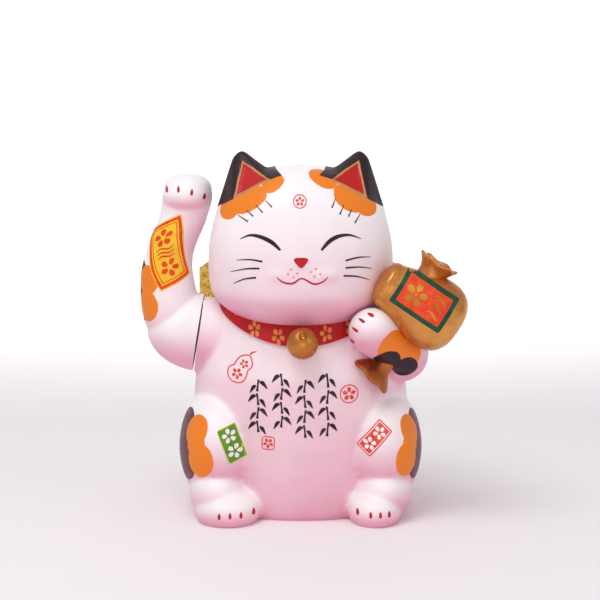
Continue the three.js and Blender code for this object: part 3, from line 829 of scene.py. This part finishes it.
claws = {
    "feet": [(-42, 6.4), (-36.4, 6.8), (-30.8, 6.8), (-24.4, 7.4), (29.6, 8), (36.2, 7.2), (41.2, 7.2), (45.8, 7.2)],
    "holding": [(36, 110.4, 70), (31.4, 107.6, 64), (28, 102.8, 58), (26.4, 96.6, 50)],
    "raised": [(-70.4, 172, 4), (-64, 172.3, 0), (-57, 170.8, -4), (-50.6, 168.4, -10)],
}
inkLayer("claws", catBody, inks["red"], [dab(x, z, 3.4, 1.5) for x, z in claws["feet"]] +
         [dab(x, z, 3.6, 1.5, turn) for x, z, turn in claws["holding"]])
raised = [dab(x, z, 3.4, 1.4, turn) for x, z, turn in claws["raised"]]
inkLayer("raised_claws", catArm, inks["red"], raised, "arm")


# each leaf of a joint as (across, down) points, and its width
leaves = [([(0.9, 1.4), (2.6, 1.6), (5, 4.6)], 2.1), ([(-0.9, 3), (-2.3, 4), (-4.1, 7)], 1.9)]


def sprig(x, top, bottom, bend):
    # a brushed stem in joints, with a pair of leaves at each joint
    shapes, joints = [], 4
    pitch = (top - bottom) / joints
    for i in range(joints):
        z, side = top - i * pitch, 1 if (i + bend) % 2 else -1
        lean = 0.5 * side
        shapes.append(stroke([(x + lean, z), (x, z - pitch * 0.42), (x - lean * 0.6, z - pitch * 0.84)],
                             [1.2, 0.8, 1.4]))
        for leaf, wide in leaves:
            shapes.append(stroke([(x + across * side, z - down) for across, down in leaf], [0.5, wide, 0.3]))
    return shapes


sprigs = [[14, 79, 45, 0], [2.2, 76, 44.6, 1], [-9.8, 79, 50, 0], [-22.2, 75.5, 47, 1]]
inkLayer("bamboo_sprigs", catBody, inks["black"], [shape for row in sprigs for shape in sprig(*row)])
gourd = [(-26.9, 87.3), (-25.4, 85.2), (-25.2, 82), (-27.4, 79.6), (-28.2, 76.8), (-30, 74), (-33.2, 73.2),
         (-36.6, 74.6), (-38, 77.6), (-37.2, 80.8), (-34.4, 82.4), (-33.2, 84.6), (-30.6, 86.8)]
seals = loopLine(gourd, 0.6) + [stroke([(-26.2, 87.6), (-25, 88.8), (-22.9, 89.4)], [0.9, 0.8, 0.4])]
seals += blossom(-29.3, 82.9, 4.4, 20) + blossom(-33.1, 77.8, 5.4, 40)
seals += ring(25.2, 68, 4.9, 0.55) + blossom(25.2, 68, 6.6)
seals += swung(border(6.8, 7.2, 0.5, 1.6) + blossom(0, 0, 5, 36), -4, -16.8, 42.6)
inkLayer("drawn_seals", catBody, inks["vermilion"], seals)
print("belly drawn")

tags = {  # size, lean and middle of each little tag
    "green": [10, 18.4, 21, (-35.6, 42.2)], "red": [9, 17.8, -42, (38.4, 45.2)],
    "label": [20, 36, 27, (-2, 138.8)],
}
wide, high, lean, (x, z) = tags["green"]
inkLayer("green_tag_edge", catBody, inks["lime"], swung([oblong(wide, high, 0.8)], lean, x, z), proud=0.12)
inkLayer("green_tag", catBody, inks["green"], swung([oblong(wide - 0.9, high - 0.9, 0.7)], lean, x, z), proud=0.2)
inkLayer("green_tag_sprig", catBody, inks["white"],
         swung(blossom(0, 4.4, 7, 0) + blossom(0, -3.9, 7.4, 36), lean, x, z), proud=0.28)
wide, high, lean, (x, z) = tags["red"]
inkLayer("red_tag", catBody, inks["vermilion"], swung([oblong(wide, high, 0.8)], lean, x, z), proud=0.12)
redMarks = border(wide - 1.3, high - 1.3, 0.4, 0.5) + blossom(0, 3.9, 6.2, 0) + blossom(0, -3.7, 6.4, 36)
inkLayer("red_tag_sprig", catBody, inks["white"], swung(redMarks, lean, x, z), proud=0.2)
wide, high, lean, (x, z) = tags["label"]
band = {"axisAt": lambda height: (at(armMiddle, height), 0), "radius": 13.2, "rides": "arm"}
wrappedLayer("arm_label", catArm, inks["yellow"], swung([oblong(wide, high, 0.9)], lean, x, z), proud=0.12, **band)
labelMarks = border(wide - 1.3, high - 1.3, 1.5, 0.6) + border(wide - 6, high - 6, 0.45, 0.4)
labelMarks += blossom(0, 8.6, 9.4, 0) + blossom(0, -8.6, 9.4, 36)
for rise in (-2.2, 0, 2.2):
    labelMarks.append(stroke([(-4.6, rise), (-2.2, rise + 0.8), (0, rise), (2.2, rise - 0.8), (4.6, rise)],
                             [0.4, 0.9, 1, 0.9, 0.4]))
wrappedLayer("arm_label_marks", catArm, inks["orangeRed"], swung(labelMarks, lean, x, z), proud=0.2, **band)
print("tags laid")

# lucky mallet and its grip
mallet = {
    "at": (61.3, -33, 114.2), "turn": 33, "stubAlong": -3.2,
    "drum": [[0, -24.8], [3, -24.7], [6.5, -24.1], [9.6, -22.9], [11.4, -21.8], [12.2, -20.8], [12.5, -19.4],
             [12.7, -18.7], [12.6, -18], [13.4, -15], [15, -10], [18.2, 0], [19.2, 4], [19.4, 8], [18.8, 14],
             [16.2, 19.2], [12.6, 22.2], [9.4, 23.5], [4, 24.3], [0, 24.4]],
    "stub": [[0, 10], [7.6, 10], [7.3, 14], [7.3, 17.4], [7.8, 19.2], [8.8, 21], [10, 22.6], [10.6, 23.5],
             [10.4, 24.3], [9.6, 24.5], [7, 23.6], [3, 23.2], [0, 23.1]],
    "grip": [[0, -6], [4.6, -6], [5, -3], [5.6, 0], [7, 2.2], [9.4, 4.6], [11.3, 6.6], [12, 7.7], [11.8, 8.5],
             [11, 8.8], [8, 8], [3, 7.6], [0, 7.5]],
    "gripAt": (42.4, -29.5, 81.6), "gripWay": (-0.72, 0, -0.69), "sides": 90,
    "pleats": 6, "pleatDepth": 0.045, "pleatLift": 0.5,
}


def goldFinish(name, warm, pale, roughness):
    finish = newFinish(name, roughness, 0.82)
    drift = ramp(finish, grain(finish, 70.0, 4.0), 0.3, 0.7)
    brushed = grain(finish, 600.0, 5.0, 0.7)
    colour = mixColour(finish, drift, tint(*warm), tint(*pale))
    colour = mixColour(finish, ramp(finish, brushed, 0.55, 0.85, 0.0, 0.22), colour, tint(250, 205, 120))
    rough = ramp(finish, brushed, 0.3, 0.7, roughness - 0.08, roughness + 0.14)
    bumps = [(grain(finish, 90.0, 2.0), 0.25, 0.4), (brushed, 0.14, 0.06)]
    return finishWith(finish, colour, rough, bumps)


goldPaint = goldFinish("gold paint", (196, 118, 60), (220, 158, 84), 0.3)
# a darker, rougher copy of the gold paint for the grip: painted shade on the same gold as the mallet, not a copper
# paint of its own
shadedGoldPaint = goldFinish("copper gold paint", (170, 92, 48), (190, 116, 62), 0.42)


def pleated(piece, start, end):
    # gathers in the flare, growing from the first height to the second
    for corner in piece.data.vertices:
        share = min(1, max(0, (corner.co.z / mm - start) / (end - start)))
        angle = math.atan2(corner.co.y, corner.co.x)
        wave = 1 + mallet["pleatDepth"] * share * math.cos(mallet["pleats"] * angle)
        corner.co.x *= wave
        corner.co.y *= wave
        corner.co.z += mallet["pleatLift"] * mm * share * math.cos(mallet["pleats"] * angle)
    return piece


malletTurn = Matrix.Rotation(math.radians(mallet["turn"]), 4, "Y")
malletPlace = Matrix.Translation(Vector(mallet["at"]) * mm) @ malletTurn
drum = drawnUp(curveThrough(mallet["drum"], 3), 96)
drum.matrix_world = malletPlace @ Matrix.Rotation(math.radians(90), 4, "Y")
stub = pleated(drawnUp(curveThrough(mallet["stub"], 3), mallet["sides"]), 17, 24)
stub.matrix_world = malletPlace @ Matrix.Translation((mallet["stubAlong"] * mm, 0, 0))
applyPlace(stub)
luckyMallet = applyPlace(drum)
modify(luckyMallet, "BOOLEAN", operation="UNION", object=stub, solver="MANIFOLD")
away(stub)
smoothShade(named(luckyMallet, "gold_mallet"), 42)
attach(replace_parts(wear(luckyMallet, goldPaint), "lucky_mallet"), "figure")

malletGrip = pleated(drawnUp(curveThrough(mallet["grip"], 3), mallet["sides"]), 0, 8)
gripTurn = Vector(mallet["gripWay"]).to_track_quat("Z", "Y").to_matrix().to_4x4()
malletGrip.matrix_world = Matrix.Translation(Vector(mallet["gripAt"]) * mm) @ gripTurn
applyPlace(malletGrip)
smoothShade(named(malletGrip, "gold_grip"), 42)
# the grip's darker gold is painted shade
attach(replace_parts(wear(malletGrip, shadedGoldPaint), "mallet_grip"), "figure")

panel = {"wide": 30, "high": 20.5, "edge": 5, "lean": -33, "at": (63.4, 118.4)}
x, z = panel["at"]
wide, high, edge, lean = panel["wide"], panel["high"], panel["edge"], panel["lean"]
inkLayer("mallet_panel_edge", luckyMallet, inks["deepGreen"], swung([oblong(wide, high, 1)], lean, x, z), proud=0.16)
inner = swung([oblong(wide - edge, high - edge, 0.8)], lean, x, z)
inkLayer("mallet_panel", luckyMallet, inks["orangeRed"], inner, proud=0.26)
goldInk = goldFinish("gold ink", (186, 128, 44), (206, 150, 60), 0.34)
motif = blossom(-5.2, 0, 11, 0) + [disc(-5.2, 0, 0.9, 12)]
for rise in (-4.2, 0, 4.2):
    motif.append(stroke([(3, rise), (5.4, rise + 1.2), (8, rise), (10.4, rise - 1.2)], [0.4, 1.2, 1.2, 0.4]))
inkLayer("mallet_panel_marks", luckyMallet, goldInk, swung(motif, lean, x, z), proud=0.36)
print("mallet made")

# collar
collar = {"z": 118.5, "slope": 0.355, "sag": 0.0052, "rx": 54, "ry": 47, "height": 13.4, "rows": 8,
          "thick": 2.2, "edge": 0.8, "tuck": 0.1, "reach": 90, "passes": 4, "lowest": 20,
          "wrap": 44, "front": -40, "blossom": 7.8, "scatter": 1.8,
          "blossoms": [-60, -38, -18, 21, 42, 64, 90, 116, 142, 168, -166, -140, -114, -88]}


def dip(y):
    return collar["z"] + collar["slope"] * y - collar["sag"] * y**2


def collarBand():
    neck = soften(join("neck", [torsoForm(body["torso"]), lump(*body["nape"])]), 1.3, 4)
    clearSelection()
    bpy.ops.mesh.primitive_cylinder_add(vertices=160, radius=collar["rx"] * mm, depth=collar["height"] * mm,
                                        end_fill_type="NOTHING")
    band = bpy.context.object
    editAll(band)
    bpy.ops.transform.resize(value=(1, collar["ry"] / collar["rx"], 1), center_override=(0, 0, 0))
    for row in range(1, collar["rows"]):
        height = (row / collar["rows"] - 0.5) * collar["height"] * mm
        bpy.ops.mesh.select_all(action="SELECT")
        bpy.ops.mesh.bisect(plane_co=(0, 0, height), plane_no=(0, 0, 1))
    bpy.ops.object.mode_set(mode="OBJECT")
    for corner in band.data.vertices:
        # laid against the neck, straight in from where it was drawn
        inward = Vector((-corner.co.x, -corner.co.y, 0)).normalized()
        row, spot = corner.co.z, corner.co.copy()
        for _ in range(collar["passes"]):
            height = dip(spot.y / mm) * mm + row
            for lower in range(collar["lowest"]):
                # a ray that passes over the neck is lowered until it meets it
                start = Vector((0, 0, height - lower * mm)) - inward * collar["reach"] * mm
                hit, found = neck.ray_cast(start, inward)[:2]
                if hit:
                    spot = Vector((found.x, found.y, height))
                    break
        corner.co = spot - inward * collar["tuck"] * mm
    away(neck)
    modify(band, "SMOOTH", factor=0.5, iterations=2)
    faceOutward(band)
    modify(band, "SOLIDIFY", thickness=collar["thick"] * mm, offset=1)
    roundEdges(band, collar["edge"], 50)
    return smoothShade(named(band, "red_collar"), 50)


redPaint = newFinish("collar paint", 0.34)
pool = ramp(redPaint, grain(redPaint, 60.0, 4.0), 0.3, 0.7)
drag = grain(redPaint, 500.0, 5.0, 0.6)
finishWith(redPaint, mixColour(redPaint, pool, tint(196, 26, 34), tint(172, 18, 28)),
           ramp(redPaint, drag, 0.3, 0.7, 0.28, 0.42),
           bumps=[(grain(redPaint, 150.0, 2.0), 0.25, 0.4), (drag, 0.2, 0.1)])
redCollar = collarBand()
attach(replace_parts(wear(redCollar, redPaint), "collar"), "figure")
shapes = []
for i, angle in enumerate(collar["blossoms"]):
    # blossoms scattered round the band, as (across, up) from its middle line
    shapes += blossom(math.radians(angle) * collar["wrap"], collar["scatter"] * math.cos(i * 2.4),
                      collar["blossom"], i * 25)
wrappedLayer("collar_blossoms", redCollar, inks["paleGold"], shapes, lambda height: (0, 0), collar["wrap"],
             heightAt=lambda angle: dip(collar["front"] * math.cos(angle)), proud=0.12)
print("collar laid")

# bell
bell = {"at": (1, -46.6, 95.7), "radius": 8.2, "dimple": [(1, -53.4, 101), 2.4], "edge": 0.35}
clearSelection()
bpy.ops.mesh.primitive_uv_sphere_add(segments=72, ring_count=48, radius=bell["radius"] * mm,
                                     location=Vector(bell["at"]) * mm)
goldBell = applyPlace(bpy.context.object)
spot, radius = bell["dimple"]
cutOut(goldBell, lump(spot, [radius] * 3))
roundEdges(goldBell, bell["edge"], 40)
smoothShade(named(goldBell, "gold_bell"), 40)
bellPaint = goldFinish("bell gold", (176, 100, 48), (200, 134, 64), 0.3)
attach(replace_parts(wear(goldBell, bellPaint), "bell"), "figure")

# ribbon bow at the nape
bow = {"middle": (0, 44.6, 123.5), "reach": 56, "droop": 9, "ribbon": 24, "gathered": 11, "thick": 0.45,
       "belly": 3.4, "pleat": 1.0, "narrower": 6, "tail": (14, 30), "notch": 3.2, "splay": 0.42, "root": 2.2,
       "knot": (5.2, 4.2, 8.4)}


def ribbonFinish():
    finish = newFinish("gold ribbon", 0.34, 0.75)
    glitterScale = 900
    across = node(finish, "ShaderNodeMapping", {"Vector": place(finish), "Scale": [glitterScale] * 3})
    cells = node(finish, "ShaderNodeTexVoronoi", {"Vector": across.outputs[0], "Scale": 1.0})
    glitter = node(finish, "ShaderNodeSeparateColor", {0: cells.outputs["Color"]}).outputs[0]
    weave = node(finish, "ShaderNodeTexWave", {"Vector": place(finish), "Scale": 420.0, "Distortion": 0.4},
                 bands_direction="Z")
    colour = mixColour(finish, glitter, tint(196, 146, 40), tint(250, 222, 120))
    return finishWith(finish, colour, ramp(finish, glitter, 0, 1, 0.22, 0.5),
                      bumps=[(glitter, 0.5, 0.1), (weave.outputs["Fac"], 0.3, 0.12)])


goldRibbon = ribbonFinish()


def ribbonPiece(name, columns, rows, shape):
    # a strip of ribbon whose corners are carried to their places: along runs 0 to 1, across -1 to 1
    clearSelection()
    bpy.ops.mesh.primitive_grid_add(x_subdivisions=columns, y_subdivisions=rows, size=2)
    strip = bpy.context.object
    for corner in strip.data.vertices:
        corner.co = Vector(shape((corner.co.x + 1) / 2, corner.co.y)) * mm
    modify(strip, "SOLIDIFY", thickness=bow["thick"] * mm, offset=0)
    smoothShade(named(faceOutward(strip), name), 60)
    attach(wear(strip, goldRibbon), "figure")
    return strip


def loopShape(side):
    x0, y0, z0 = bow["middle"]

    def shape(along, across):
        angle = math.pi * (2 * along - 1)  # once round the loop, from the knot and back to it
        out = (1 + math.cos(angle)) / 2
        x = 1.5 + (bow["reach"] - 1.5) * out**0.8
        depth = bow["belly"] * math.sin(angle) * (0.35 + 0.65 * out)
        spread = bow["gathered"] + (bow["ribbon"] - bow["gathered"]) * min(1, out * 1.35) - bow["narrower"] * out**6
        fold = bow["pleat"] * (1 - out) * math.sin(across * math.pi * 2.5)
        return (x0 + side * x, y0 + depth + fold, z0 - bow["droop"] * out**2 + across * spread / 2)

    return shape


def tailShape(side):
    x0, y0, z0 = bow["middle"]
    wide, long = bow["tail"]

    def shape(along, across):
        notch = bow["notch"] * abs(across) * max(0, along * 3 - 2)
        drop = along * long + notch
        half = bow["root"] + (wide / 2 - bow["root"]) * min(1, along * 1.6)
        x = side * (3 + bow["splay"] * drop) + across * half
        return (x0 + x, y0 + 1.2 + 1.2 * math.sin(along * 5 + side), z0 - 3 - drop * 0.86)

    return shape


def knotShape(along, across):
    x0, y0, z0 = bow["middle"]
    wide, deep, high = bow["knot"]
    angle = 2 * math.pi * along
    swell = 1 + 0.05 * math.cos(across * math.pi * 3)
    return (x0 + across * wide, y0 + 0.6 + deep * swell * math.cos(angle), z0 + high * swell * math.sin(angle))


for side, word in ((-1, "left"), (1, "right")):
    loop = ribbonPiece("bow_loop_" + word, 72, 18, loopShape(side))
    if side < 0:
        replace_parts(loop, "nape_bow")
    ribbonPiece("bow_tail_" + word, 20, 10, tailShape(side))
ribbonPiece("bow_knot", 48, 10, knotShape)
print("bow tied")


# finishes of the drive, battery and base
def plainFinish(name, colour, shade, roughness, metallic=0.0, size=300.0, depth=0.1, streak=None):
    finish = newFinish(name, roughness, metallic)
    vector = place(finish)
    if streak:
        vector = node(finish, "ShaderNodeMapping", {"Vector": vector, "Scale": streak}).outputs[0]
    fine = node(finish, "ShaderNodeTexNoise",
                {"Vector": vector, "Scale": size, "Detail": 5.0, "Roughness": 0.6}).outputs["Fac"]
    cloud = ramp(finish, grain(finish, 80.0, 3.0), 0.3, 0.7)
    colour = mixColour(finish, cloud, tint(*colour), tint(*shade))
    return finishWith(finish, colour, ramp(finish, fine, 0.3, 0.7, roughness - 0.08, roughness + 0.1),
                      bumps=[(fine, 0.3, depth)])


inside = {
    "steel": [plainFinish("pressed steel", (176, 178, 182), (150, 153, 158), 0.34, 1.0, 300.0, 0.06, (1, 1, 6)),
              ["drive_frame", "axle", "axle_clip", "frame_screw_1", "frame_screw_2"]],
    "zinc": [plainFinish("zinc plated screw", (190, 192, 186), (160, 164, 160), 0.3, 1.0, 500.0, 0.05),
             ["base_screw_1", "base_screw_2", "base_screw_3", "spring_contact", "plate_contact"]],
    "weight": [plainFinish("cast weight", (98, 98, 102), (78, 78, 82), 0.5, 0.9, 200.0, 0.2), ["counterweight"]],
    "magnet": [plainFinish("magnet plating", (196, 196, 198), (176, 176, 180), 0.2, 1.0, 400.0, 0.03), ["magnet"]],
    "copper": [plainFinish("coil copper", (190, 104, 60), (150, 74, 40), 0.32, 0.9, 200.0, 0.2, (1, 1, 30)),
               ["coil"]],
    "board": [plainFinish("circuit board", (34, 104, 60), (26, 84, 48), 0.4, 0.0, 500.0, 0.05), ["circuit_board"]],
    "nylon": [plainFinish("nylon", (232, 228, 212), (220, 214, 196), 0.45, 0.0, 260.0, 0.08),
              ["outer_bush", "inner_bush"]],
    "lever": [plainFinish("lever plastic", (216, 216, 214), (200, 200, 198), 0.42, 0.0, 300.0, 0.08),
              ["pendulum_lever", "arm_side_cover"]],
    "base": [plainFinish("moulded base", (236, 232, 230), (226, 220, 219), 0.48, 0.0, 700.0, 0.12),
             ["base_plate", "battery_door"]],
    "black": [plainFinish("black plastic", (30, 30, 33), (42, 42, 46), 0.42, 0.0, 600.0, 0.1),
              ["switch_body", "switch_knob", "spring_lead"]],
    "cell": [plainFinish("cell sleeve", (44, 74, 120), (36, 62, 104), 0.28, 0.1, 400.0, 0.04), ["battery_cell"]],
    "red": [plainFinish("red sheath", (178, 30, 30), (156, 24, 26), 0.4, 0.0, 500.0, 0.06),
            ["plate_lead", "switch_lead"]],
}
for finish, names in inside.values():
    for name in names:
        wear(nodes[name], finish)
print("inside finished")


# camera, light and floor
view = {"distance": 1100, "height": 8, "aim": (-0.3, 0, 111.8), "lens": 123.4}
paper = {"size": 8, "deeper": 0.5, "wall": 4, "sweep": 1.2}  # the floor and wall, in metres
skyLight = 0.58
lamps = {  # place, width, power, colour, and what each one faces
    "key": [(-350, -450, 1200), 800, 6.4, (1, 1, 1), (0, 0, 95)],
    "fill": [(800, -600, 500), 600, 0.6, (1, 0.97, 0.98), (0, 0, 95)],
    "pink_low": [(0, -700, 40), 500, 0.9, (1, 0.4, 0.58), (0, 0, 95)],
    "backdrop": [(0, 700, 900), 900, 9, (1, 1, 1), (0, 2000, 250)],
}


def standCamera():
    rise = math.radians(view["height"])
    aim = Vector(view["aim"]) * mm
    spot = aim + Vector((0, -math.cos(rise), math.sin(rise))) * view["distance"] * mm
    bpy.ops.object.camera_add(location=spot, rotation=(math.radians(90) - rise, 0, 0))
    camera = bpy.context.object
    camera.data.lens, camera.data.sensor_width = view["lens"], 36
    camera.data.clip_end = 50
    bpy.context.scene.camera = camera


def softLight(name, spot, size, power, colour, aim):
    clearSelection()
    bpy.ops.object.light_add(type="AREA", location=Vector(spot) * mm)
    lamp = bpy.context.object
    lamp.name = name
    lamp.data.shape, lamp.data.size = "DISK", size * mm
    lamp.data.energy, lamp.data.color = power, colour
    lamp.rotation_euler = (Vector(aim) * mm - lamp.location).to_track_quat("-Z", "Y").to_euler()


def paleFloor():
    clearSelection()
    bpy.ops.mesh.primitive_plane_add(size=paper["size"])
    floor = bpy.context.object
    floor.name = "floor"
    floor.scale = (1, paper["deeper"], 1)
    applyPlace(floor)
    bpy.ops.object.mode_set(mode="EDIT")
    bpy.ops.mesh.select_all(action="DESELECT")
    bpy.ops.object.mode_set(mode="OBJECT")
    for edge in floor.data.edges:
        edge.select = all(floor.data.vertices[i].co.y > 1 for i in edge.vertices)
    bpy.ops.object.mode_set(mode="EDIT")
    bpy.ops.mesh.select_mode(type="EDGE")
    bpy.ops.mesh.extrude_region_move(TRANSFORM_OT_translate={"value": (0, 0, paper["wall"])})
    bpy.ops.object.mode_set(mode="OBJECT")
    modify(floor, "BEVEL", width=paper["sweep"], segments=12, limit_method="ANGLE")
    smoothShade(floor, 60)
    finish = newFinish("studio paper", 0.75)
    shade = ramp(finish, grain(finish, 3.0), 0.3, 0.7, 0, 0.35)
    finishWith(finish, mixColour(finish, shade, tint(246, 243, 245), tint(242, 239, 242)),
               bumps=[(grain(finish, 900.0), 0.05, 0.05)])
    wear(floor, finish)


standCamera()
paleFloor()
world = bpy.data.worlds.new("studio")
bpy.context.scene.world = world
world.use_nodes = True
world.node_tree.nodes["Background"].inputs["Color"].default_value = (1, 1, 1, 1)
world.node_tree.nodes["Background"].inputs["Strength"].default_value = skyLight
for name, settings in lamps.items():
    softLight(name, *settings)
bpy.context.scene.view_settings.view_transform = "Standard"

clearSelection()
